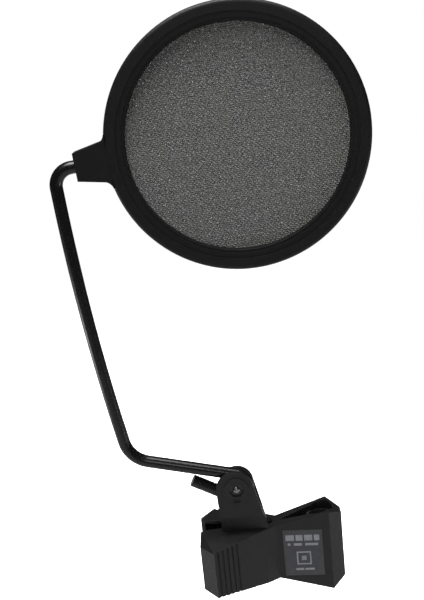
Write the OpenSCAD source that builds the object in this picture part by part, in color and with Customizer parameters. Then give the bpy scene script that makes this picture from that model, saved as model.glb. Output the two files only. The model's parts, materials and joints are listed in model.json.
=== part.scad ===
// Pop filter: a cloth hoop on a bent rod, carried by a spring clip for a microphone stand.
//
// The origin is the centre of the clip's round grip. +Z runs up along the gripped tube,
// +X runs from the clip's handles to its jaws, and -Y is the side with the label.
// "Depth" below means distance towards -Y from the clip's parting plane.

/* [Hoop] */
// Outer diameter of the hoop
hoop_d = 160; // [156:1:164]
// Diameter of the front opening
opening_d = 136; // [130:1:136]
// Thickness of the two closed hoop shells
hoop_t = 13; // [13:0.5:15]
// Outer diameter of the lower of the two steps round the opening
low_step_d = 139; // [138:1:140]
// Outer diameter of the upper of the two steps round the opening
high_step_d = 146; // [144:1:148]
// Distance from the hoop's centre to the end of its socket
socket_reach = 98.7; // [98:0.1:100]
// Width of the socket at its end
socket_end_w = 17; // [16:0.5:18]
// Width of the socket where it meets the hoop
socket_root_w = 25.2; // [22:0.2:27]

/* [Arm] */
// Diameter of the rod
rod_d = 8; // [7.6:0.1:8]
// Straight length of the lower run, from the eye to the lower bend
run_l = 59.5; // [55:0.5:70]
// Length of the slightly bowed stretch between the two bends
arm_l = 169.6; // [150:0.1:180]
// Distance from the upper bend to the hoop's centre
reach_l = 102; // [101:0.5:106]
// Heading of the lower run, from +X towards +Z
run_heading = 165.5; // [160:0.5:168]
// Turn of the lower bend
lower_turn = 65; // [60:1:70]
// Turn of the bowed stretch
arm_bow = 6.8; // [4:0.1:8]
// Turn of the upper bend
upper_turn = 89.1; // [85:0.1:92]
// Radius of the lower bend
lower_bend_r = 19; // [15:1:25]
// Radius of the upper bend
upper_bend_r = 11.2; // [10:0.1:14]
// Length of the tail beyond the eye
tail_l = 27.7; // [20:0.1:28]

/* [Clip] */
// Diameter of the tube that the closed jaws hold
grip_d = 16; // [15:0.5:16]
// Distance from the hinge pin to the grip's centre
grip_x = 36; // [35.5:0.5:36]
// Length of the handles behind the hinge pin
handle_l = 44.6; // [43.8:0.2:45]
// Length of the jaws in front of the hinge pin
jaw_l = 49.8; // [49:0.2:51]
// Height of the clip at its handles
handle_h = 41; // [40.4:0.2:41.4]
// Height of the clip at its waist
waist_h = 38.4; // [38.2:0.2:39.4]
// Height of the clip at its jaws
jaw_h = 56.2; // [53:0.2:56.6]
// Wall thickness of the clip's halves
wall = 2.4; // [2:0.1:2.6]
// Number of finger grooves on each handle
groove_count = 5; // [4:1:7]

/* [Hidden] */
$fn = 64;
over = 1;                    // how far a cutting solid runs past the face it cuts

// hoop
hoop_r = hoop_d / 2;
opening_r = opening_d / 2;
half_t = hoop_t / 2;
rim_round = 2.5;             // radius of the hoop's outer edges
rear_lean = 1;               // the rear shell's outer wall leans in by this much
rim_sink = 0.02;             // a leaning wall runs this far into the rounded edge
step_h = 0.95;               // height of each step round the opening
throat_taper = 0.8;          // the opening narrows by this much towards the cloth
cloth_t = 0.4;
cloth_gap = 2;               // distance between the two layers of cloth
stack_h = cloth_gap / 2 + cloth_t;
pocket_clear = 0.05;
pocket_z = stack_h + pocket_clear;
rim_wall = 2.4;
cloth_r = hoop_r - 7.5;
spacer_in_r = opening_r + 0.2;

// hoop screws
screw_count = 6;
screw_r = 1;
screw_head_r = 1.9;
screw_head_h = 1.3;
screw_tip_z = 4.2;           // how far the screws reach into the front shell
screw_circle_r = hoop_r - 5.2;
screw_boss_r = 2.2;

// socket
socket_half_t = half_t - 0.2;
socket_root_x = hoop_r - 1.5;
socket_fillet_r = 6;
fillet_sink = 0.06;
socket_wall = 1.2;           // wall at the socket's open end
bush_r = 4.9;
bush_inner_end = 85.4;       // distance of the bush's inner end from the hoop's centre
running = 0.03;              // radial clearance of a running fit
rod_hole_clear = 0.3;
keeper_pocket_r = 5.1;
keeper_r = 4.7;
keeper_t = 0.8;
keeper_x = bush_inner_end - 1;
rod_groove_r = rod_d / 2 - 0.7;
rod_tip_x = keeper_x - 1.4;  // distance of the rod's end from the hoop's centre

// arm and pivot
rod_r = rod_d / 2;
bend_swell = 0.02;           // the rod is this much thicker in its bends
bend_bite = 0.3;             // how far a straight stretch runs into a bend
bolt_r = 2.5;
eye_bush_r = 3.96;
eye_r = rod_r + eye_bush_r + 0.04;
eye_wrap = 194.6;            // angle that the rod wraps round the bolt
washer_t = 0.5;
washer_r = 9;
washer_clear = 0.08;
ear_gap = rod_d + 2 * (washer_t + washer_clear);
arm_heading = run_heading - lower_turn;
bowed_heading = arm_heading - arm_bow;
top_heading = bowed_heading - upper_turn;
arm_bow_r = arm_l / (arm_bow * PI / 180);

// yoke, in distances from the hinge pin
rear_ear_depth = 0.4;
rear_ear_t = 2.8;
front_ear_t = 3.2;
boss_t = 1;                  // how far the front ear's round boss stands out
boss_r = 8.4;
gap_near = rear_ear_depth + rear_ear_t;
gap_far = gap_near + ear_gap;
front_ear_depth = gap_far + front_ear_t;
boss_depth = front_ear_depth + boss_t;
rod_depth = gap_near + ear_gap / 2;
pivot_x = -18;
pivot_z = 51.2;
front_ear_r = 12.3;
front_ear_shift = -0.9;      // how far the middle of the ear's round top is from the bolt
rear_ear_r = 10.8;
rear_ear_shift = 0.8;
yoke_left = -29.9;
yoke_right = 0.8;
yoke_foot_z = handle_h / 2 + 0.1;
yoke_root_z = 17.5;
bridge_z = 34.4;
neck_top_z = 32.2;
neck_depth = 10.8;

// pivot hardware
nut_flats = 8;
nut_t = 2;
nut_sink = 1.4;              // depth of the nut's top below the boss
nut_bottom = boss_depth - nut_sink - nut_t;
bolt_tip = boss_depth;
bolt_dome_r = 3.2;           // the bolt ends in a dome of this radius
rear_washer_t = 0.8;
rear_washer_r = 5.5;
bolt_head_r = 4.5;
bolt_head_h = 2.8;
ear_slot = [5, 3, 0.9];      // width, height and depth of the slot below the nut
ear_slot_z = pivot_z - 6.6;

// clip, in distances from the hinge pin
handle_tip_depth = 20;
tip_lean = 0.7;              // the handle's end leans out by this much
knee_x = handle_l - 8.5;
knee_depth = 32.3;
mouth_x = handle_l - 3;
mouth_depth = 7;             // depth of the handle's inner edge at its end
end_depth = 8.5;
waist_x = 5.8;
waist_depth = 8;
brow_x = jaw_l - 9;
brow_depth = 12.2;
nose_depth = 3.5;
lip_depth = 0.3;
lead_depth = 1.6;            // the jaws' tips flare to this depth
lead_l = 2.5;
draft = 0.18;                // the handles' top and bottom close in by this slope
draft_depth = 6.6;           // beyond this depth
corner_z = 15.6;             // half the height of the handle's end at its outer edge
nose_h = 47;
hollow_end = 24;
face_slope = (knee_depth - waist_depth) / (knee_x + waist_x);
jaw_slope = (brow_depth - waist_depth) / (brow_x - waist_x);
handle_rise = (handle_h - waist_h) / 2 / (handle_l + waist_x);

// finger grooves
groove_r = 0.9;
groove_pitch = 3.1;
groove_start = -33.8;

// hinge
pin_r = 2;
lug_r = 5;
lug_clear = 0.4;
front_lug_z = 15.2;
rear_lug_z = 11;
rear_lug_top = front_lug_z - 0.3;
pin_head_r = 3.6;
pin_seat_z = waist_h / 2 + 0.03 + handle_rise * (waist_x + pin_head_r + 0.6);
pin_head_h = 1.3;
pin_tail = 2.2;
retainer_t = 0.8;
rear_lug_bore_r = pin_r + 0.05;

// torsion spring
wire_r = 0.7;
coil_r = 3.6;
coil_half_h = 7;
coil_turns = 5;
leg_angle = 37.2;            // angle of each leg from the handles' centre line
leg_l = 25;
coil_steps = 18;             // points per turn
wire_sides = 10;

// jaw pads
grip_r = grip_d / 2;
pad_t = 1.6;
seat_r = grip_r + pad_t;
pad_half_h = 21;
pad_arc = 160;
pad_groove_r = 0.6;
pad_groove_count = 5;
throat_r = grip_r + 0.6;     // bore of the clip beyond the pads
notch_x = 9;                 // the bore's ends run out in a notch towards the waist, up to here
notch_z = 16.5;

// label
label_x = 22.5;
label_w = 26;
label_h = 33.4;
label_z = -0.8;
label_t = 0.6;
label_proud = 0.15;

function polar(r, angle) = [r * cos(angle), r * sin(angle)];

// Point where the line from p touches the circle about c; side is 1 or -1
function tangent(c, r, p, side) =
    c + polar(r, atan2(p[1] - c[1], p[0] - c[0]) + side * acos(r / norm(p - c)));

// ---------- frames ----------

// Lays an XY drawing in an upright plane, with its +Z towards the front
module upright() {
    rotate([90, 0, 0]) children();
}

// Clip frame: origin on the hinge pin
module at_pin() {
    translate([-grip_x, 0, 0]) children();
}

// Rod frame: origin on the pivot bolt, in the plane of the rod
module at_pivot() {
    at_pin() translate([pivot_x, -rod_depth, pivot_z]) upright() children();
}

// Hoop frame: origin at the hoop's centre, socket towards -X
module at_hoop() {
    at_pivot() translate(hoop_centre) rotate([0, 0, top_heading]) children();
}

// Solid between two depths over an upright outline
module slab(near, far) {
    translate([0, -near, 0]) upright() linear_extrude(height = far - near) children();
}

// ---------- hoop ----------

// Section of one plain half of the hoop, with its outer wall leaning in by lean and its edge rounded
module half_section(inner_r, lean) {
    centre = [hoop_r - lean - rim_round, half_t - rim_round];
    polygon([
        [inner_r, 0],
        [hoop_r, 0],
        centre + polar(rim_round - rim_sink * sign(lean), atan2(lean, half_t)),
        centre,
        centre + [0, rim_round],
        [inner_r, half_t]
    ]);
    translate(centre) circle(r = rim_round);
}

// Room for the cloth and its spacer inside a half section
module stack_pocket() {
    translate([0, -over]) square([hoop_r - rim_wall, pocket_z + over]);
}

module front_section() {
    low_z = half_t - 2 * step_h;
    difference() {
        half_section(opening_r - throat_taper, 0);
        stack_pocket();
        translate([0, half_t - step_h]) square([high_step_d / 2, half_t]);
        translate([0, low_z]) square([low_step_d / 2, half_t]);
        polygon([
            [opening_r - throat_taper - over, low_z + over],
            [opening_r - throat_taper - over, pocket_z - over],
            [opening_r - throat_taper, pocket_z],
            [opening_r, low_z],
            [opening_r, low_z + over]
        ]);
    }
}

module rear_section() {
    difference() {
        half_section(opening_r, rear_lean);
        stack_pocket();
        translate([0, half_t - step_h]) square([low_step_d / 2, half_t]);
    }
}

// Corner between the socket's side and the hoop, filled to a concave arc that sinks a little into both
module socket_fillet() {
    from = [-socket_reach, socket_end_w / 2];
    side = [-socket_root_x, socket_root_w / 2] - from;
    slope = atan2(side[1], side[0]);
    near = socket_fillet_r - fillet_sink;
    beside = from + polar(near, slope + 90);
    along = beside * polar(1, slope);
    reach = pow(hoop_r + near, 2) - beside * beside;
    centre = beside + polar(-along - sqrt(along * along + reach), slope);
    difference() {
        polygon([
            centre - polar(socket_fillet_r + over / 2, slope + 90),
            centre,
            centre * (hoop_r - over / 2) / norm(centre),
            [-socket_root_x, socket_root_w / 2 - over]
        ]);
        translate(centre) circle(r = socket_fillet_r);
    }
}

module socket_outline() {
    polygon([
        [-socket_reach, -socket_end_w / 2],
        [-socket_reach, socket_end_w / 2],
        [-socket_root_x, socket_root_w / 2],
        [-socket_root_x, -socket_root_w / 2]
    ]);
    socket_fillet();
    mirror([0, 1]) socket_fillet();
}

// Cylinder along the socket's axis between two distances from the hoop's centre
module socket_bar(near, far, r) {
    translate([-far, 0, 0]) rotate([0, 90, 0]) cylinder(r = r, h = far - near);
}

// Everything bored out of the socket
module socket_bores() {
    socket_bar(bush_inner_end, socket_reach - socket_wall, bush_r);
    socket_bar(rod_tip_x - 0.8, bush_inner_end + over, keeper_pocket_r);
    socket_bar(bush_inner_end, socket_reach + over, rod_r + rod_hole_clear);
}

module at_screws() {
    for (i = [0 : screw_count - 1]) {
        rotate([0, 0, (i + 0.5) * 360 / screw_count]) translate([screw_circle_r, 0, 0]) children();
    }
}

module hoop_front_shell() {
    color([0.045, 0.045, 0.05]) at_hoop() difference() {
        union() {
            rotate_extrude($fn = 180) front_section();
            linear_extrude(height = socket_half_t) socket_outline();
        }
        socket_bores();
        at_screws() cylinder(r = screw_r, h = screw_tip_z + 0.3);
    }
}

module hoop_rear_shell() {
    color([0.045, 0.045, 0.05]) at_hoop() difference() {
        union() {
            mirror([0, 0, 1]) rotate_extrude($fn = 180) rear_section();
            mirror([0, 0, 1]) linear_extrude(height = socket_half_t) socket_outline();
            at_screws() translate([0, 0, -pocket_z - over]) cylinder(r = screw_boss_r, h = 2 * pocket_z + over);
        }
        socket_bores();
        at_screws() translate([0, 0, -half_t - over]) {
            cylinder(r = screw_r + 0.15, h = hoop_t);
            cylinder(r = screw_head_r + 0.15, h = screw_head_h + over + 0.3);
        }
    }
}

module hoop_screws() {
    color([0.12, 0.12, 0.13]) at_hoop() at_screws() translate([0, 0, -half_t + 0.3]) difference() {
        union() {
            cylinder(r = screw_head_r, h = screw_head_h);
            cylinder(r = screw_r, h = half_t - 0.3 + screw_tip_z);
        }
        for (turn = [0, 90]) {
            rotate([0, 0, turn]) cube([2.2, 0.5, 1.4], center = true);
        }
    }
}

module cloth_disc() {
    color([0.3, 0.3, 0.3]) cylinder(r = cloth_r, h = cloth_t, $fn = 180);
}

module mesh_front() {
    at_hoop() translate([0, 0, cloth_gap / 2]) cloth_disc();
}

module mesh_rear() {
    at_hoop() translate([0, 0, -cloth_gap / 2 - cloth_t]) cloth_disc();
}

module mesh_spacer() {
    color([0.06, 0.06, 0.06]) at_hoop() difference() {
        cylinder(r = cloth_r, h = cloth_gap, center = true, $fn = 180);
        cylinder(r = spacer_in_r, h = cloth_gap + over, center = true, $fn = 180);
    }
}

module socket_bush() {
    color([0.75, 0.75, 0.72]) at_hoop() difference() {
        socket_bar(bush_inner_end, socket_reach - socket_wall, bush_r);
        socket_bar(bush_inner_end - over, socket_reach + over, rod_r + running);
    }
}

module rod_retainer() {
    color([0.55, 0.55, 0.57]) at_hoop() difference() {
        socket_bar(keeper_x - keeper_t, keeper_x, keeper_r);
        socket_bar(keeper_x - keeper_t - over, keeper_x + over, rod_groove_r);
    }
}

// ---------- arm ----------

// Centre of a clockwise bend that starts at p with a heading, and the place where it ends
function bend_centre(p, heading, r) = p + polar(r, heading - 90);
function bend_end(p, heading, r, turn) = bend_centre(p, heading, r) + polar(r, heading - turn + 90);

run_start = polar(eye_r, run_heading - 90);
lower_bend = run_start + polar(run_l, run_heading);
arm_start = bend_end(lower_bend, run_heading, lower_bend_r, lower_turn);
upper_bend = bend_end(arm_start, arm_heading, arm_bow_r, arm_bow);
reach_start = bend_end(upper_bend, bowed_heading, upper_bend_r, upper_turn);
hoop_centre = reach_start + polar(reach_l, top_heading);
tail_start = polar(eye_r, run_heading - 90 - eye_wrap);

// Straight round rod of length l, leaving a point at a heading; each end bites into its bend
module rod_straight(from, heading, l) {
    translate(from) rotate([0, 0, heading]) rotate([0, 90, 0])
        translate([0, 0, -bend_bite]) cylinder(r = rod_r, h = l + 2 * bend_bite);
}

// Round rod that turns clockwise, from point p and a heading; bite is an angle run past each end
module rod_bend(p, heading, r, turn, thick = rod_r + bend_swell, bite = 0) {
    translate(bend_centre(p, heading, r)) rotate([0, 0, heading + 90 - turn - bite])
        rotate_extrude(angle = turn + 2 * bite, $fn = 96) translate([r, 0]) circle(r = thick);
}

module arm_rod() {
    color([0.05, 0.05, 0.055]) difference() {
        at_pivot() {
            rod_straight(tail_start, run_heading - eye_wrap + 180, tail_l - bend_bite);
            rod_bend(run_start, run_heading + 180, eye_r, eye_wrap);
            rod_straight(run_start, run_heading, run_l);
            rod_bend(lower_bend, run_heading, lower_bend_r, lower_turn);
            rod_bend(arm_start, arm_heading, arm_bow_r, arm_bow, rod_r, arm_bow * bend_bite / arm_l);
            rod_bend(upper_bend, bowed_heading, upper_bend_r, upper_turn);
            rod_straight(reach_start, top_heading, reach_l - rod_tip_x);
        }
        at_hoop() difference() {
            socket_bar(keeper_x - keeper_t, keeper_x, rod_r + over);
            socket_bar(keeper_x - keeper_t - over, keeper_x + over, rod_groove_r);
        }
    }
}

// ---------- pivot hardware ----------

// Cylinder on the bolt's axis between two depths
module pivot_bar(near, far, r, sides = 64) {
    at_pin() translate([pivot_x, -near, pivot_z]) upright() cylinder(r = r, h = far - near, $fn = sides);
}

module pivot_bolt() {
    head_back = rear_ear_depth - rear_washer_t - bolt_head_h;
    color([0.7, 0.7, 0.72]) difference() {
        union() {
            pivot_bar(head_back, head_back + bolt_head_h, bolt_head_r);
            pivot_bar(head_back, nut_bottom, bolt_r);
            intersection() {
                pivot_bar(nut_bottom - over, bolt_tip, bolt_r);
                at_pin() translate([pivot_x, bolt_dome_r - bolt_tip, pivot_z]) upright() sphere(r = bolt_dome_r);
            }
        }
        for (turn = [45, 135]) {
            at_pin() translate([pivot_x, -head_back, pivot_z]) rotate([0, turn, 0]) cube([5, 3, 0.9], center = true);
        }
    }
}

module pivot_nut() {
    color([0.55, 0.55, 0.57]) difference() {
        pivot_bar(nut_bottom, nut_bottom + nut_t, nut_flats / 2 / cos(30), 6);
        pivot_bar(nut_bottom - over, nut_bottom + nut_t + over, bolt_r);
    }
}

module pivot_bush() {
    half_l = rod_r + washer_clear / 2;
    color([0.75, 0.75, 0.72]) difference() {
        pivot_bar(rod_depth - half_l, rod_depth + half_l, eye_bush_r);
        pivot_bar(rod_depth - half_l - over, rod_depth + half_l + over, bolt_r + running);
    }
}

module friction_washers() {
    color([0.2, 0.2, 0.2]) for (near = [gap_near, gap_far - washer_t]) {
        difference() {
            pivot_bar(near, near + washer_t, washer_r);
            pivot_bar(near - over, near + washer_t + over, bolt_r);
        }
    }
}

module rear_washer() {
    color([0.6, 0.6, 0.62]) difference() {
        pivot_bar(rear_ear_depth - rear_washer_t, rear_ear_depth, rear_washer_r);
        pivot_bar(rear_ear_depth - rear_washer_t - over, rear_ear_depth + over, bolt_r);
    }
}

// ---------- clip ----------

// Outlines of the front half and of its hollow, seen from above
side_outline = [
    [-mouth_x, -mouth_depth],
    [-handle_l, -end_depth],
    [-handle_l - tip_lean, -handle_tip_depth],
    [-knee_x, -knee_depth],
    [waist_x, -waist_depth],
    [brow_x, -brow_depth],
    [jaw_l, -nose_depth],
    [jaw_l, -lead_depth],
    [jaw_l - lead_l, -lip_depth],
    [1.7, -lip_depth]
];
side_hollow = [
    [-handle_l + wall, over],
    [-handle_l + wall, wall * 0.4 - handle_tip_depth],
    [-knee_x + wall * 0.25, wall * 1.3 - knee_depth],
    [waist_x, wall * 1.1 - waist_depth],
    [hollow_end, wall * 1.1 - waist_depth - (hollow_end - waist_x) * jaw_slope],
    [hollow_end, over]
];

// Outline of either half seen from the front, drawn smaller by inset on every side
module face_outline(inset) {
    upper = [
        [-handle_l - tip_lean, handle_h / 2],
        [waist_x, waist_h / 2],
        [brow_x, jaw_h / 2],
        [jaw_l, nose_h / 2]
    ];
    lower = [for (i = [len(upper) - 1 : -1 : 0]) [upper[i][0], inset - upper[i][1]]];
    polygon(concat([for (p = upper) p - [0, inset]], lower));
}

// What the draft takes off the handle's top and bottom, lower by inset
module draft_wedges(inset) {
    top = handle_h / 2 - inset;
    run = 2 * knee_depth;
    for (side = [0, 1]) {
        mirror([0, 0, side]) translate([-2 * handle_l, 0, 0]) rotate([90, 0, 90])
            linear_extrude(height = 2 * handle_l + waist_x) polygon([
                [-draft_depth, top],
                [-draft_depth - run, top - run * draft],
                [-draft_depth - run, jaw_h],
                [-draft_depth, jaw_h]
            ]);
    }
}

// Everything above the plane through three points, lower by inset
module above_plane(a, b, c, inset) {
    n = cross(b - a, c - a) / norm(cross(b - a, c - a));
    size = 4 * handle_l;
    translate(a - n * inset) rotate([0, acos(n[2]), atan2(n[1], n[0])])
        translate([-size / 2, -size / 2, 0]) cube(size);
}

// What is cut off the handle's outer corners
module corner_cuts(inset) {
    inner = [-handle_l, -draft_depth, handle_h / 2];
    outer = [-handle_l - tip_lean, -handle_tip_depth, corner_z];
    knee = [-knee_x, -knee_depth, handle_h / 2 - draft * (knee_depth - draft_depth)];
    for (side = [0, 1]) {
        mirror([0, 0, side]) above_plane(inner, outer, knee, inset);
    }
}

// One half filled in, drawn over an outline seen from above and smaller by inset in height
module half_form(outline, inset) {
    difference() {
        intersection() {
            linear_extrude(height = 2 * jaw_h, center = true) polygon(outline);
            slab(-2 * over, knee_depth + over) face_outline(inset);
        }
        draft_wedges(inset);
        corner_cuts(inset);
    }
}

module half_solid() {
    half_form(side_outline, 0);
}

module finger_grooves() {
    for (i = [0 : groove_count - 1]) {
        x = groove_start + i * groove_pitch;
        depth = waist_depth + (waist_x - x) * face_slope;
        translate([x, -depth, 0]) cylinder(r = groove_r, h = 2 * jaw_h, center = true, $fn = 24);
    }
}

// Bore for the pads, with a narrower throat and a pointed notch above and below them
module grip_bore() {
    translate([grip_x, 0, 0]) {
        cylinder(r = seat_r, h = 2 * pad_half_h, center = true);
        cylinder(r = throat_r, h = 2 * jaw_h, center = true);
    }
    for (side = [0, 1]) {
        mirror([0, 0, side]) translate([0, 0, notch_z]) linear_extrude(height = jaw_h) polygon([
            [notch_x, -0.5],
            [grip_x, 0.6 - throat_r],
            [grip_x, throat_r - 0.6],
            [notch_x, 0.5]
        ]);
    }
}

// Hinge lugs above and below, from z to top
module lug_pair(z, top, r) {
    for (side = [0, 1]) {
        mirror([0, 0, side]) translate([0, 0, z]) cylinder(r = r, h = top - z);
    }
}

module pin_hole(r) {
    cylinder(r = r, h = 2 * jaw_h, center = true);
}

// Shell of the front half, without its hinge lugs
module half_shell() {
    difference() {
        half_solid();
        half_form(side_hollow, wall);
        finger_grooves();
        grip_bore();
    }
}

module ear_outline(r, shift, foot_z) {
    middle = [pivot_x + shift, pivot_z];
    left = [yoke_left, foot_z];
    right = [yoke_right, foot_z];
    polygon([left, tangent(middle, r, left, -1), middle, tangent(middle, r, right, 1), right]);
    translate(middle) circle(r = r);
}

// Outline of the yoke's solid foot, below the rod's eye
module bridge_outline(foot_z) {
    intersection() {
        ear_outline(front_ear_r, front_ear_shift, foot_z);
        translate([-2 * handle_l, 0]) square([4 * handle_l, bridge_z]);
    }
}

module yoke() {
    difference() {
        union() {
            slab(rear_ear_depth, front_ear_depth) bridge_outline(yoke_foot_z);
            slab(rear_ear_depth, gap_near) ear_outline(rear_ear_r, rear_ear_shift, yoke_foot_z);
            slab(gap_far, front_ear_depth) ear_outline(front_ear_r, front_ear_shift, yoke_foot_z);
            translate([pivot_x, -gap_far, pivot_z]) upright() cylinder(r = boss_r, h = boss_depth - gap_far);
            intersection() {
                slab(rear_ear_depth, neck_depth) bridge_outline(yoke_root_z);
                linear_extrude(height = yoke_foot_z + 0.2) polygon(side_outline);
            }
        }
        slab(neck_depth, knee_depth) translate([-2 * handle_l, 0]) square([4 * handle_l, neck_top_z]);
        translate([0, 0, pin_seat_z]) cylinder(r = pin_head_r + 0.6, h = pin_head_h + 1.5);
    }
}

module clip_front() {
    color([0.06, 0.06, 0.065]) at_pin() difference() {
        union() {
            half_shell();
            lug_pair(front_lug_z, pin_seat_z, lug_r);
            yoke();
        }
        pin_hole(pin_r);
        translate([pivot_x, 0, pivot_z]) upright() {
            cylinder(r = bolt_r + 0.1, h = 2 * boss_depth);
            translate([0, 0, nut_bottom]) cylinder(r = (nut_flats / 2 + 0.1) / cos(30), h = boss_depth, $fn = 6);
        }
        translate([pivot_x, -boss_depth, ear_slot_z]) cube([ear_slot[0], 2 * ear_slot[2], ear_slot[1]], center = true);
        label_solid(0);
    }
}

module clip_rear() {
    color([0.06, 0.06, 0.065]) at_pin() mirror([0, 1, 0]) difference() {
        union() {
            difference() {
                half_shell();
                lug_pair(rear_lug_top, jaw_h, lug_r + lug_clear);
            }
            lug_pair(rear_lug_z, rear_lug_top - 0.1, lug_r);
            intersection() {
                half_solid();
                for (side = [0, 1]) {
                    mirror([0, 0, side]) translate([-4, -knee_depth, rear_lug_z])
                        cube([8, knee_depth, rear_lug_top - 0.1 - rear_lug_z]);
                }
            }
        }
        pin_hole(rear_lug_bore_r);
    }
}

module hinge_pin() {
    color([0.5, 0.5, 0.52]) at_pin() {
        translate([0, 0, -pin_seat_z - pin_tail]) cylinder(r = pin_r, h = 2 * pin_seat_z + pin_tail);
        translate([0, 0, pin_seat_z]) cylinder(r = pin_head_r, h = pin_head_h);
    }
}

module pin_retainer() {
    color([0.45, 0.45, 0.47]) at_pin() translate([0, 0, -pin_seat_z - retainer_t]) difference() {
        cylinder(r = pin_head_r, h = retainer_t);
        translate([0, 0, -over]) cylinder(r = pin_r, h = retainer_t + 2 * over);
    }
}

// ---------- torsion spring ----------

coil_first = leg_angle - 90;
coil_sweep = 360 * coil_turns + 180 - 2 * leg_angle;
coil_points = coil_turns * coil_steps;

// Place and height of the coil's centre line, t from 0 to 1
function coil_point(t) = polar(coil_r, coil_first + coil_sweep * t);
function coil_height(t) = coil_half_h * (1 - 2 * t);
function leg_end(point, side) = point + polar(leg_l, 180 - side * leg_angle);

spring_path = concat(
    [concat(leg_end(coil_point(0), -1), coil_height(0))],
    [for (i = [0 : coil_points]) concat(coil_point(i / coil_points), coil_height(i / coil_points))],
    [concat(leg_end(coil_point(1), 1), coil_height(1))]
);

// Ring of wire_sides points about path point i, square to the path
function wire_ring(path, i) =
    let (
        last = len(path) - 1,
        ahead = path[min(i + 1, last)] - path[max(i - 1, 0)],
        along = ahead / norm(ahead),
        across = cross(along, [0, 0, 1]) / norm(cross(along, [0, 0, 1])),
        up = cross(across, along)
    )
    [for (k = [0 : wire_sides - 1])
        path[i] + wire_r * (cos(k * 360 / wire_sides) * across + sin(k * 360 / wire_sides) * up)];

module wire(path) {
    count = len(path);
    rings = [for (i = [0 : count - 1]) each wire_ring(path, i)];
    sides = [for (i = [0 : count - 2], k = [0 : wire_sides - 1])
        let (a = i * wire_sides + k, b = i * wire_sides + (k + 1) % wire_sides)
        [a, b, b + wire_sides, a + wire_sides]];
    first = [for (k = [wire_sides - 1 : -1 : 0]) k];
    last = [for (k = [0 : wire_sides - 1]) (count - 1) * wire_sides + k];
    polyhedron(points = rings, faces = concat([first], sides, [last]));
}

module torsion_spring() {
    color([0.6, 0.6, 0.62]) at_pin() wire(spring_path);
}

// ---------- jaw linings and label ----------

// Front pad, centred on the grip's axis
module jaw_pad() {
    difference() {
        translate([0, 0, -pad_half_h]) rotate([0, 0, -90 - pad_arc / 2]) rotate_extrude(angle = pad_arc)
            translate([grip_r, 0]) square([pad_t, 2 * pad_half_h]);
        for (i = [0 : pad_groove_count - 1]) {
            rotate([0, 0, -90 + (i - (pad_groove_count - 1) / 2) * pad_arc / (pad_groove_count + 1)])
                translate([grip_r, 0, 0]) cylinder(r = pad_groove_r, h = 3 * pad_half_h, center = true, $fn = 24);
        }
    }
}

module jaw_pad_front() {
    color([0.03, 0.03, 0.03]) jaw_pad();
}

module jaw_pad_rear() {
    color([0.03, 0.03, 0.03]) mirror([0, 1, 0]) jaw_pad();
}

// Label on the front jaw's outer face, standing out by proud
module label_solid(proud) {
    depth = waist_depth + (label_x - waist_x) * jaw_slope;
    sunk = label_t - label_proud;
    translate([label_x, -depth, label_z]) rotate([0, 0, -atan(jaw_slope)])
        translate([-label_w / 2, -proud, -label_h / 2]) cube([label_w, sunk + proud, label_h]);
}

module label_plate() {
    color([0.2, 0.2, 0.2]) at_pin() label_solid(label_proud);
}

hoop_front_shell();
hoop_rear_shell();
mesh_front();
mesh_rear();
mesh_spacer();
hoop_screws();
socket_bush();
rod_retainer();
arm_rod();
pivot_bolt();
pivot_nut();
pivot_bush();
friction_washers();
rear_washer();
clip_front();
clip_rear();
hinge_pin();
pin_retainer();
torsion_spring();
jaw_pad_front();
jaw_pad_rear();
label_plate();
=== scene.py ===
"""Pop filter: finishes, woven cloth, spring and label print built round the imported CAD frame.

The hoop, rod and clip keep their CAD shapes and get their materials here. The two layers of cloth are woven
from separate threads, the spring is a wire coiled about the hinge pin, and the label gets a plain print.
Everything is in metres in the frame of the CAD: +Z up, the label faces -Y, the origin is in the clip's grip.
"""

import json
import math

import bmesh
import bpy
import numpy as np
from mathutils import Matrix, Vector

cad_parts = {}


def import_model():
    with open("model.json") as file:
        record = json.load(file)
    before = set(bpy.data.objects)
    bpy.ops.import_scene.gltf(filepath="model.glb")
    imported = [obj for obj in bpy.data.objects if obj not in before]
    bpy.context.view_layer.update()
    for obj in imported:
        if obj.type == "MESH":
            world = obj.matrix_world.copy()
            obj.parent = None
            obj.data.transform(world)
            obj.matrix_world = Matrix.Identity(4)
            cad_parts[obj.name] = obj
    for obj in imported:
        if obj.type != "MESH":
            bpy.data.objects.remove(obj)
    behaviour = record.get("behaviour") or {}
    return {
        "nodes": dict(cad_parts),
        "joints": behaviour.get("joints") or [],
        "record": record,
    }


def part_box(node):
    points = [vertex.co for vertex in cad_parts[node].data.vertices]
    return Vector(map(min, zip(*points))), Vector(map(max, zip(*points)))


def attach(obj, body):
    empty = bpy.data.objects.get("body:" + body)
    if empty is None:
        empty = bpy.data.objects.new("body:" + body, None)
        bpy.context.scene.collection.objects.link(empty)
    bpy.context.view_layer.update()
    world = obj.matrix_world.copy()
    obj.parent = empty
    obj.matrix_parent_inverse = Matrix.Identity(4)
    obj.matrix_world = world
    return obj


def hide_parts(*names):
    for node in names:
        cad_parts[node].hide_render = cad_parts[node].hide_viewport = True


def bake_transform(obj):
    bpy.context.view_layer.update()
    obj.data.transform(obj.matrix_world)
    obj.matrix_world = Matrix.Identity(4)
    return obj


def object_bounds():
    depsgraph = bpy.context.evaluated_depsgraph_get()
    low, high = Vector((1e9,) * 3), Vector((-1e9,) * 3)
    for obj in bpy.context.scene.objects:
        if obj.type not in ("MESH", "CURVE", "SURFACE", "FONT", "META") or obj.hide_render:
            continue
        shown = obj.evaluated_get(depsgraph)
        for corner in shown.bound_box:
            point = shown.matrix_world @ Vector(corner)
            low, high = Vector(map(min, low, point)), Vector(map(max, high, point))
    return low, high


MM = 0.001

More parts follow.
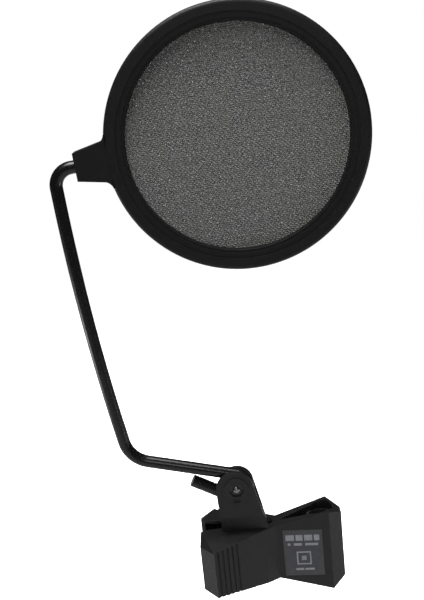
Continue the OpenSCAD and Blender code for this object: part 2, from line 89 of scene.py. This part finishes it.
# Camera, from the centre of the hoop before the roll: it looks down by the pitch and is rolled about +Y
VIEW_OFFSET = Vector((-15.2, -603, 60.8)) * MM
VIEW_PITCH = math.radians(15)
VIEW_ROLL = math.radians(5.6)
VIEW_LENS = 60
VIEW_SENSOR = 36

# Cloth: plain weave of nylon thread, two layers
CLOTH_RADIUS = 72.2 * MM       # ends inside the clamped rim
THREAD_PITCH = 1.2 * MM
THREAD_WIDTH = 0.92 * MM
THREAD_DEPTH = 0.19 * MM
THREAD_LIFT = 0.1 * MM         # how far a thread rises over each one that it crosses
THREAD_DRIFT = 0.16            # slow wander and jitter of a thread, as shares of the pitch
THREAD_JITTER = 0.1
CLOTH_LAYERS = (("mesh_front", 3, 7), ("mesh_rear", 34, 11))   # node, turn of the weave in degrees, seed

# Torsion spring about the hinge pin
WIRE_RADIUS = 0.7 * MM
COIL_RADIUS = 3.6 * MM
COIL_HALF_HEIGHT = 7 * MM
COIL_TURNS = 5
COIL_STEPS = 40                # points per turn
LEG_ANGLE = 37.2               # of each leg from the handles' centre line, in degrees
LEG_LENGTH = 25 * MM
WIRE_SIDES = 16

# Label: thickness of its plate, and how far the ink stands out of its face and reaches into it
LABEL_PLATE = 0.6 * MM
INK_DEPTH = 0.04 * MM
# Lines of print, in mm from the middle of the label: left end, lengths of the bars, gap, bottom and top
INK_ROWS = (
    (-11.4, (5.6, 4.6, 5.4, 3.6), 1.1, 9.0, 13.2),
    (-10.2, (1.8, 5.4, 8.6), 2.2, 5.4, 7.2),
    (-5.8, (5.2, 6.2), 0.8, -12.8, -11.3),
)
# The square mark between them: half its side, the width of its line, and its height on the label
MARK_HALF = 4.8 * MM
MARK_LINE = 0.9 * MM
MARK_HEIGHT = -3.8 * MM

# Rounding of the moulded edges of the hoop shells and of the clip's halves
EDGE_ROUND = {"hoop_front_shell": 0.22 * MM, "hoop_rear_shell": 0.22 * MM,
              "clip_front": 0.3 * MM, "clip_rear": 0.3 * MM}
EDGE_ANGLE = math.radians(40)  # gentler creases stay sharp, such as the one at the clip's waist
WELD_WITHIN = 0.004 * MM

# Studio
FLOOR_DROP = 115 * MM          # floor below the lowest point, clear of the hoop when it swings down
FLOOR_RADIUS = 1.6             # the floor fades out towards this distance
FLOOR_GREY = 0.16              # what the object sees of the floor
SURROUND = 0.05                # how bright the white surround is to everything but the camera
# Soft boxes: place from the object's middle and size, in metres, and watts
SOFT_BOXES = {
    "key_box": ((-0.3, -0.42, 1.3), (0.7, 0.7), 11),
    "front_box": ((0.1, -1.6, 0.7), (0.4, 0.3), 2.6),
    "left_box": ((-0.9, -0.05, -0.5), (0.3, 0.4), 14),
    "right_box": ((0.9, -0.3, -0.5), (0.3, 0.4), 8.5),
    "top_box": ((0, 0, 1.2), (0.9, 0.5), 12),
}
FLOOR_WASH = ((0, 0.3, 2.2), (5, 5), 300)   # lights the floor only


# ---------- small node helpers ----------

def node(tree, kind, settings=None, **inputs):
    """A new node, with its settings and its inputs. An input is a value or another node's output."""
    new = tree.nodes.new(kind)
    for name, value in (settings or {}).items():
        setattr(new, name, value)
    for name, value in inputs.items():
        socket = new.inputs[int(name[1:])] if name[0] == "_" else new.inputs[name]
        if isinstance(value, bpy.types.NodeSocket):
            tree.links.new(value, socket)
        else:
            socket.default_value = value
    return new


def place(tree, stretch=(1, 1, 1)):
    """Coordinates in metres that stay with the piece, stretched to draw out a pattern."""
    where = node(tree, "ShaderNodeTexCoord").outputs["Object"]
    return node(tree, "ShaderNodeMapping", Vector=where, Scale=stretch).outputs["Vector"]


def noise(tree, size, detail=3.0, stretch=(1, 1, 1)):
    """Soft noise from 0 to 1 whose blobs are about `size` metres across."""
    return node(tree, "ShaderNodeTexNoise", Vector=place(tree, stretch), Scale=1 / size,
                Detail=detail, Roughness=0.55).outputs["Fac"]


def spread(tree, value, low, high, start=0.3, end=0.7):
    """A noise value carried over to the range low to high."""
    return node(tree, "ShaderNodeMapRange", Value=value, _1=start, _2=end, _3=low, _4=high).outputs["Result"]


def scaled(colour, share):
    return tuple(c * share for c in colour)


def blend_colours(tree, factor, first, second):
    """The first colour at factor 0, the second at 1. A colour is three values or another node's output."""
    mix = node(tree, "ShaderNodeMix", {"data_type": "RGBA"}, _0=factor)
    for socket, colour in ((mix.inputs[6], first), (mix.inputs[7], second)):
        if isinstance(colour, bpy.types.NodeSocket):
            tree.links.new(colour, socket)
        else:
            socket.default_value = (*colour, 1)
    return mix.outputs[2]


def math_node(tree, operation, first, second):
    return node(tree, "ShaderNodeMath", {"operation": operation}, _0=first, _1=second).outputs[0]


def relief(tree, layers):
    """Bump from (height, depth in metres) layers, each on top of the one before."""
    normal = None
    for height, depth in layers:
        bump = node(tree, "ShaderNodeBump", Height=height, Distance=depth, Strength=1.0)
        if normal is not None:
            tree.links.new(normal, bump.inputs["Normal"])
        normal = bump.outputs["Normal"]
    return normal


def edge_wear(tree, radius, spots):
    """0 on flat faces, up to 1 along sharp edges, broken up by noise."""
    rounded = node(tree, "ShaderNodeBevel", {"samples": 6}, Radius=radius).outputs["Normal"]
    true = node(tree, "ShaderNodeNewGeometry").outputs["Normal"]
    facing = node(tree, "ShaderNodeVectorMath", {"operation": "DOT_PRODUCT"}, _0=rounded, _1=true)
    edge = spread(tree, facing.outputs["Value"], 1.0, 0.0, 0.80, 0.985)
    return math_node(tree, "MULTIPLY", edge, spread(tree, noise(tree, spots), 0.25, 1.0, 0.4, 0.62))


def new_material(name):
    """A new material, its node tree and its Principled shader."""
    material = bpy.data.materials.new(name)
    material.use_nodes = True
    tree = material.node_tree
    return material, tree, tree.nodes["Principled BSDF"]


def set_inputs(tree, shader, **inputs):
    """Sets or links inputs of a shader. An underscore in a name stands for a space."""
    for name, value in inputs.items():
        socket = shader.inputs[name.replace("_", " ")]
        if isinstance(value, bpy.types.NodeSocket):
            tree.links.new(value, socket)
        elif socket.type == "RGBA":
            socket.default_value = (*value, 1)
        else:
            socket.default_value = value


# ---------- materials ----------

def moulded_plastic(name, colour, rough, grain, grain_depth, worn, specular=0.5):
    """Injection-moulded plastic: fine spark-eroded grain, slight flow shading and edges rubbed paler."""
    material, tree, shader = new_material(name)
    cloudy = noise(tree, 18 * MM, 4)
    fine = noise(tree, grain, 5)
    deep = scaled(colour, 0.72)
    body = blend_colours(tree, spread(tree, cloudy, 0, 1), deep, colour)
    specks = blend_colours(tree, spread(tree, fine, 0, 0.5, 0.5, 0.75), body, scaled(colour, 1.5))
    wear = edge_wear(tree, 0.5 * MM, 3 * MM)
    set_inputs(tree, shader,
               Base_Color=blend_colours(tree, math_node(tree, "MULTIPLY", wear, 0.6), specks, worn),
               Roughness=spread(tree, noise(tree, 2.2 * MM, 5), rough - 0.07, rough + 0.08),
               Specular_IOR_Level=specular,
               Normal=relief(tree, ((cloudy, 0.05 * MM), (fine, grain_depth))))
    return material


def powder_coat(name, colour):
    """Black powder coat on a steel rod: orange peel, fine pits and a satin gloss."""
    material, tree, shader = new_material(name)
    peel = noise(tree, 0.9 * MM, 2)
    pits = noise(tree, 0.22 * MM, 4)
    wear = edge_wear(tree, 0.4 * MM, 2 * MM)
    body = blend_colours(tree, spread(tree, noise(tree, 9 * MM, 4), 0, 1), scaled(colour, 0.7), colour)
    worn = (0.06, 0.06, 0.062)
    set_inputs(tree, shader,
               Base_Color=blend_colours(tree, math_node(tree, "MULTIPLY", wear, 0.5), body, worn),
               Roughness=spread(tree, noise(tree, 1.6 * MM, 4), 0.2, 0.3),
               Specular_IOR_Level=0.5,
               Normal=relief(tree, ((peel, 0.014 * MM), (pits, 0.005 * MM))))
    return material


def plated_steel(name, colour, stained, rough):
    """Zinc-plated steel: crystalline blotches, fine turning lines and darker stains."""
    material, tree, shader = new_material(name)
    blotch = noise(tree, 1.4 * MM, 5)
    lines = noise(tree, 0.35 * MM, 3, (1, 0.12, 1))
    set_inputs(tree, shader,
               Base_Color=blend_colours(tree, spread(tree, blotch, 0, 1, 0.35, 0.65), stained, colour),
               Metallic=1.0,
               Roughness=spread(tree, blotch, rough - 0.08, rough + 0.12),
               Normal=relief(tree, ((lines, 0.002 * MM), (blotch, 0.002 * MM))))
    return material


def matt_rubber(name, colour):
    """Soft rubber: dusty, matt and slightly pebbled."""
    material, tree, shader = new_material(name)
    dust = noise(tree, 3.5 * MM, 6)
    pebble = noise(tree, 0.4 * MM, 4)
    set_inputs(tree, shader,
               Base_Color=blend_colours(tree, spread(tree, dust, 0, 1), colour, scaled(colour, 2.2)),
               Roughness=spread(tree, pebble, 0.72, 0.88),
               Specular_IOR_Level=0.35,
               Normal=relief(tree, ((pebble, 0.05 * MM),)))
    return material


def pressed_fibre(name, colour):
    """Vulcanised fibre washers: flecked, dry and fibrous."""
    material, tree, shader = new_material(name)
    flecks = noise(tree, 0.5 * MM, 6, (1, 1, 0.25))
    set_inputs(tree, shader,
               Base_Color=blend_colours(tree, spread(tree, flecks, 0, 1), colour, scaled(colour, 2)),
               Roughness=spread(tree, flecks, 0.75, 0.9),
               Normal=relief(tree, ((flecks, 0.06 * MM),)))
    return material


def nylon_thread(name, colour):
    """Black nylon yarn: each thread a slightly different grey, with filaments and a silky sheen."""
    material, tree, shader = new_material(name)
    mottle = noise(tree, 1.5 * MM, 3)
    patch = noise(tree, 14 * MM, 3)
    filament = noise(tree, 0.12 * MM, 2)
    dark = scaled(colour, 0.45)
    body = blend_colours(tree, spread(tree, mottle, 0, 1, 0.36, 0.64), dark, scaled(colour, 1.5))
    olive = tuple(c * t for c, t in zip(colour, (1.06, 1.05, 0.86)))
    set_inputs(tree, shader,
               Base_Color=blend_colours(tree, spread(tree, patch, 0, 0.4, 0.45, 0.65), body, olive),
               Roughness=spread(tree, filament, 0.42, 0.62),
               Specular_IOR_Level=0.55,
               Sheen_Weight=0.35,
               Sheen_Roughness=0.4,
               Sheen_Tint=(0.8, 0.8, 0.82),
               Normal=relief(tree, ((filament, 0.02 * MM),)))
    return material


def printed_film(name, colour, rough):
    """Thin printed film: satin, with a faint grain and rubbed patches."""
    material, tree, shader = new_material(name)
    rubbed = noise(tree, 4 * MM, 5)
    grain = noise(tree, 0.3 * MM, 4)
    body = blend_colours(tree, spread(tree, rubbed, 0, 1), scaled(colour, 0.8), scaled(colour, 1.12))
    set_inputs(tree, shader,
               Base_Color=blend_colours(tree, spread(tree, grain, 0, 0.3), body, scaled(colour, 0.6)),
               Roughness=spread(tree, rubbed, rough, rough + 0.15),
               Normal=relief(tree, ((grain, 0.012 * MM),)))
    return material


def make_materials():
    """A material for each slot of the CAD, and one for the ink."""
    return {
        "hoop_plastic": moulded_plastic("satin_hoop_plastic", (0.0068, 0.0068, 0.0078), 0.48, 0.30 * MM,
                                        0.012 * MM, (0.035, 0.035, 0.036), 0.35),
        "clip_plastic": moulded_plastic("grained_clip_plastic", (0.0112, 0.0112, 0.0122), 0.45, 0.38 * MM,
                                        0.02 * MM, (0.07, 0.07, 0.071), 0.45),
        "bush_plastic": moulded_plastic("natural_acetal", (0.5, 0.49, 0.45), 0.4, 0.5 * MM,
                                        0.01 * MM, (0.6, 0.59, 0.55)),
        "painted_rod": powder_coat("black_powder_coat", (0.006, 0.006, 0.0065)),
        "pad_rubber": matt_rubber("ribbed_rubber", (0.011, 0.011, 0.011)),
        "washer_fibre": pressed_fibre("black_fibre", (0.018, 0.017, 0.016)),
        "bright_steel": plated_steel("bright_zinc_steel", (0.34, 0.34, 0.35), (0.26, 0.26, 0.27), 0.25),
        "dark_steel": plated_steel("black_zinc_steel", (0.075, 0.075, 0.08), (0.035, 0.035, 0.037), 0.38),
        "spring_wire": plated_steel("drawn_spring_wire", (0.45, 0.45, 0.46), (0.25, 0.245, 0.24), 0.28),
        "filter_cloth": nylon_thread("black_nylon_thread", (0.172, 0.172, 0.169)),
        "label_film": printed_film("label_ground", (0.080, 0.080, 0.090), 0.42),
        "label_ink": printed_film("label_ink", (0.38, 0.39, 0.42), 0.5),
    }


# ---------- CAD nodes ----------

def soften_edges(piece, width):
    """Rounds the moulded edges of a CAD piece a little. The CAD mesh itself isn't changed."""
    weld = piece.modifiers.new("weld", "WELD")
    weld.merge_threshold = WELD_WITHIN
    bevel = piece.modifiers.new("soft_edges", "BEVEL")
    bevel.width = width
    bevel.segments = 2
    bevel.limit_method = "ANGLE"
    bevel.angle_limit = EDGE_ANGLE


def finish_cad_nodes(frame, materials):
    """Gives every CAD node the material of its slot, and rounds the moulded edges."""
    slots = {entry["slot"] for entry in frame["record"]["materials"]}
    for piece in frame["nodes"].values():
        for index, old in enumerate(piece.data.materials):
            name = old.name.split(".")[0]
            if name in slots:
                piece.data.materials[index] = materials[name]
    for name, width in EDGE_ROUND.items():
        soften_edges(frame["nodes"][name], width)


# ---------- building meshes ----------

def add_object(name, data):
    """A new object in the scene that shows a mesh, light or camera."""
    new = bpy.data.objects.new(name, data)
    bpy.context.scene.collection.objects.link(new)
    return new


def mesh_object(name, points, faces, material, smooth=True):
    mesh = bpy.data.meshes.new(name)
    mesh.from_pydata(points, [], faces)
    mesh.materials.append(material)
    mesh.polygons.foreach_set("use_smooth", [smooth] * len(mesh.polygons))
    mesh.update()
    return add_object(name, mesh)


def tube_faces(first, rings, sides):
    """Quads of a closed tube of rings that starts at point `first`, with its two end caps."""
    faces = []
    for ring in range(rings - 1):
        start = first + ring * sides
        for side in range(sides):
            after = (side + 1) % sides
            faces.append((start + side, start + after, start + after + sides, start + side + sides))
    faces.append(tuple(first + side for side in reversed(range(sides))))
    faces.append(tuple(first + (rings - 1) * sides + side for side in range(sides)))
    return faces


# ---------- cloth ----------

def wander(u, v, phase):
    """Slow sideways drift of the weave at a place in the cloth, about -1 to 1."""
    return (0.5 * np.sin(u * 520 + v * 310 + phase) + 0.3 * np.sin(v * 1130 - u * 270 + 2.1 * phase)
            + 0.2 * np.sin(u * 1900 + v * 1500 + 3.7 * phase))


def thread_points(across, along, over, random, phase):
    """Points of one thread: a flat four-cornered ring at every crossing, over and under in turn.

    across is the thread's place in the weave, and along holds the places of its crossings.
    """
    count = len(along)
    drift = THREAD_DRIFT * wander(along, np.full(count, across), phase)
    drift += THREAD_JITTER * random.uniform(-1, 1, count)
    centre = across + THREAD_PITCH * drift
    width = 0.5 * THREAD_WIDTH * random.uniform(0.8, 1.2) * random.uniform(0.85, 1.15, count)
    depth = np.full(count, 0.5 * THREAD_DEPTH)
    height = THREAD_LIFT * over
    corners = ((1, 0), (0, 1), (-1, 0), (0, -1))
    return np.stack([np.stack([centre + a * width, along, height + b * depth], 1) for a, b in corners], 1)


def woven_disc(name, seed, turn, centre, material):
    """A round piece of plain weave in the plane of the hoop, made of separate closed threads."""
    random = np.random.RandomState(seed)
    count = int(2 * CLOTH_RADIUS / THREAD_PITCH)
    places = (np.arange(count) - (count - 1) / 2) * THREAD_PITCH
    points, faces, first = [], [], 0
    for direction in (0, 1):
        for index, across in enumerate(places):
            inside = np.flatnonzero(across ** 2 + places ** 2 < CLOTH_RADIUS ** 2)
            if len(inside) < 3:
                continue
            over = np.where((index + inside + direction) % 2 == 0, 1.0, -1.0)
            rings = thread_points(across, places[inside], over, random, seed + direction).reshape(-1, 3)
            if direction:
                rings = rings[:, [1, 0, 2]]
            sides = tube_faces(first, len(inside), 4)
            faces += [tuple(reversed(face)) for face in sides] if direction else sides
            points.append(rings)
            first += len(rings)
    flat = np.concatenate(points)
    # thread plane (u, v, height) to the frame: u across the hoop, v up it, height towards -Y
    c, s = math.cos(turn), math.sin(turn)
    x = c * flat[:, 0] - s * flat[:, 1]
    z = s * flat[:, 0] + c * flat[:, 1]
    placed = np.stack([x, -flat[:, 2], z], 1) + np.array(centre)
    return mesh_object(name, placed.tolist(), faces, material)


def make_cloth(materials):
    """The two layers of cloth, in place of the plain discs of the CAD."""
    for layer, turn, seed in CLOTH_LAYERS:
        low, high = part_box(layer)
        piece = woven_disc(layer.replace("mesh", "woven_cloth"), seed, math.radians(turn), (low + high) / 2,
                           materials["filter_cloth"])
        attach(piece, "hoop")
        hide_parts(layer)


# ---------- torsion spring ----------

def spring_path(pin):
    """Centre line of the spring: front leg, coil from top to bottom, rear leg."""
    first = math.radians(LEG_ANGLE - 90)
    sweep = math.radians(360 * COIL_TURNS + 180 - 2 * LEG_ANGLE)
    count = COIL_TURNS * COIL_STEPS
    coil = [
        pin + Vector((COIL_RADIUS * math.cos(first + sweep * t), COIL_RADIUS * math.sin(first + sweep * t),
                      COIL_HALF_HEIGHT * (1 - 2 * t)))
        for t in (step / count for step in range(count + 1))
    ]
    legs = []
    for start, side in ((coil[0], -1), (coil[-1], 1)):
        angle = math.pi - side * math.radians(LEG_ANGLE)
        reach = Vector((math.cos(angle), math.sin(angle), 0)) * LEG_LENGTH
        legs.append([start + reach * share for share in (1, 0.75, 0.5, 0.25)])
    return legs[0] + coil + legs[1][::-1]


def wire_mesh(path):
    """Points and faces of a round wire along a path that runs nearly level."""
    up = Vector((0, 0, 1))
    points = []
    for index, place_now in enumerate(path):
        along = (path[min(index + 1, len(path) - 1)] - path[max(index - 1, 0)]).normalized()
        across = along.cross(up).normalized()
        rise = across.cross(along)
        for side in range(WIRE_SIDES):
            angle = 2 * math.pi * side / WIRE_SIDES
            points.append(place_now + WIRE_RADIUS * (math.cos(angle) * across + math.sin(angle) * rise))
    return points, tube_faces(0, len(path), WIRE_SIDES)


def make_spring(frame, materials):
    """The spring's wire, coiled about the hinge pin in place of the CAD spring."""
    hinge = next(joint for joint in frame["joints"] if joint["name"] == "clamp_hinge")
    pin = Vector(hinge["pos_m"])
    points, faces = wire_mesh(spring_path(pin))
    piece = mesh_object("wound_spring", points, faces, materials["spring_wire"])
    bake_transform(piece)
    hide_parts("torsion_spring")


# ---------- label ----------

def ink_bar(mesh, left, right, low, high):
    """A raised block of ink, in the label's own plane: x right, y up, z out of the face."""
    corners = [(left, low), (right, low), (right, high), (left, high)]
    base = [mesh.verts.new((x, y, -INK_DEPTH)) for x, y in corners]
    top = [mesh.verts.new((x, y, INK_DEPTH)) for x, y in corners]
    mesh.faces.new(base[::-1])
    mesh.faces.new(top)
    for index in range(4):
        after = (index + 1) % 4
        mesh.faces.new((base[index], base[after], top[after], top[index]))


def ink_row(mesh, left, lengths, gap, low, high):
    """A row of bars, which stands for a line of print without any lettering. Sizes are in mm."""
    for length in lengths:
        ink_bar(mesh, left * MM, (left + length) * MM, low * MM, high * MM)
        left += length + gap


def ink_mark(mesh):
    """A plain square outline with a small square inside it."""
    half, inner, core = MARK_HALF, MARK_HALF - MARK_LINE, MARK_HALF / 3
    for left, right, low, high in (
            (-half, half, inner, half),
            (-half, half, -half, -inner),
            (-half, -inner, -inner, inner),
            (inner, half, -inner, inner),
            (-core, core, -core, core)):
        ink_bar(mesh, left, right, MARK_HEIGHT + low, MARK_HEIGHT + high)


def make_label_print(materials):
    """The ink on the outer face of the label plate."""
    low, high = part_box("label_plate")
    lean = math.atan2(high.y - low.y - LABEL_PLATE, high.x - low.x)   # the plate leans with the jaw's face
    out = Vector((-math.sin(lean), -math.cos(lean), 0))
    right = Vector((math.cos(lean), -math.sin(lean), 0))
    up = Vector((0, 0, 1))
    face_centre = (low + high) / 2 + out * LABEL_PLATE / 2
    build = bmesh.new()
    for row in INK_ROWS:
        ink_row(build, *row)
    ink_mark(build)
    mesh = bpy.data.meshes.new("label_print")
    build.to_mesh(mesh)
    build.free()
    mesh.materials.append(materials["label_ink"])
    placing = Matrix((right, up, out)).transposed().to_4x4()
    placing.translation = face_centre
    mesh.transform(placing)
    piece = add_object("label_print", mesh)
    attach(piece, "clip")


# ---------- studio ----------

def pale_floor(low_z, centre):
    """A wide pale floor below the object, which fades into the surround. Only the camera sees it bright."""
    material, tree, shader = new_material("pale_floor")
    seen = node(tree, "ShaderNodeLightPath").outputs["Is Camera Ray"]
    mottle = spread(tree, noise(tree, 0.4, 3), 0.97, 1.0)
    paint = node(tree, "ShaderNodeCombineColor", _0=mottle, _1=mottle, _2=mottle).outputs[0]
    away = node(tree, "ShaderNodeVectorMath", {"operation": "LENGTH"}, _0=place(tree)).outputs["Value"]
    set_inputs(tree, shader,
               Base_Color=blend_colours(tree, seen, (FLOOR_GREY, FLOOR_GREY, FLOOR_GREY), paint),
               Roughness=0.9,
               Specular_IOR_Level=0.1,
               Alpha=spread(tree, away, 1.0, 0.0, FLOOR_RADIUS / 3, FLOOR_RADIUS))
    corners = [(a * FLOOR_RADIUS, b * FLOOR_RADIUS, 0) for a, b in ((-1, -1), (1, -1), (1, 1), (-1, 1))]
    floor = mesh_object("floor", corners, [(0, 1, 2, 3)], material, smooth=False)
    floor.location = (centre.x, centre.y, low_z - FLOOR_DROP)
    return floor


def studio_world():
    """A white surround that the camera sees at full brightness and the object much dimmer."""
    world = bpy.data.worlds.new("studio")
    world.use_nodes = True
    bpy.context.scene.world = world
    tree = world.node_tree
    background = tree.nodes["Background"]
    seen = node(tree, "ShaderNodeLightPath").outputs["Is Camera Ray"]
    background.inputs["Color"].default_value = (1, 1, 1, 1)
    tree.links.new(spread(tree, seen, SURROUND, 1.0, 0, 1), background.inputs["Strength"])


def soft_box(name, target, offset, size, watts):
    """A rectangular area light at an offset from the target, facing it."""
    data = bpy.data.lights.new(name, "AREA")
    data.shape = "RECTANGLE"
    data.size, data.size_y = size
    data.energy = watts
    lamp = add_object(name, data)
    lamp.location = target + Vector(offset)
    lamp.rotation_euler = (-Vector(offset)).to_track_quat("-Z", "Y").to_euler()
    return lamp


def light_studio(target, floor):
    for name, (offset, size, watts) in SOFT_BOXES.items():
        soft_box(name, target, offset, size, watts)
    only_floor = bpy.data.collections.new("only_the_floor")
    only_floor.objects.link(floor)
    wash = soft_box("floor_wash", target, *FLOOR_WASH)
    wash.light_linking.receiver_collection = only_floor


def place_camera(hoop_centre):
    roll = Matrix.Rotation(VIEW_ROLL, 4, "Y")
    data = bpy.data.cameras.new("camera")
    data.sensor_fit = "VERTICAL"
    data.sensor_height = VIEW_SENSOR
    data.lens = VIEW_LENS
    camera = add_object("camera", data)
    tilt = Matrix.Rotation(math.pi / 2 - VIEW_PITCH, 4, "X")
    camera.matrix_world = Matrix.Translation(hoop_centre + roll @ VIEW_OFFSET) @ roll @ tilt
    bpy.context.scene.camera = camera


def main():
    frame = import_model()
    cad_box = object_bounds()
    low, high = (Vector(corner) for corner in cad_box)
    swivel = next(joint for joint in frame["joints"] if joint["name"] == "hoop_swivel")

    materials = make_materials()
    finish_cad_nodes(frame, materials)
    make_cloth(materials)
    make_spring(frame, materials)
    make_label_print(materials)

    floor = pale_floor(low.z, (low + high) / 2)
    studio_world()
    light_studio((low + high) / 2, floor)
    place_camera(Vector(swivel["pos_m"]))
    bpy.context.scene.view_settings.view_transform = "Standard"


main()
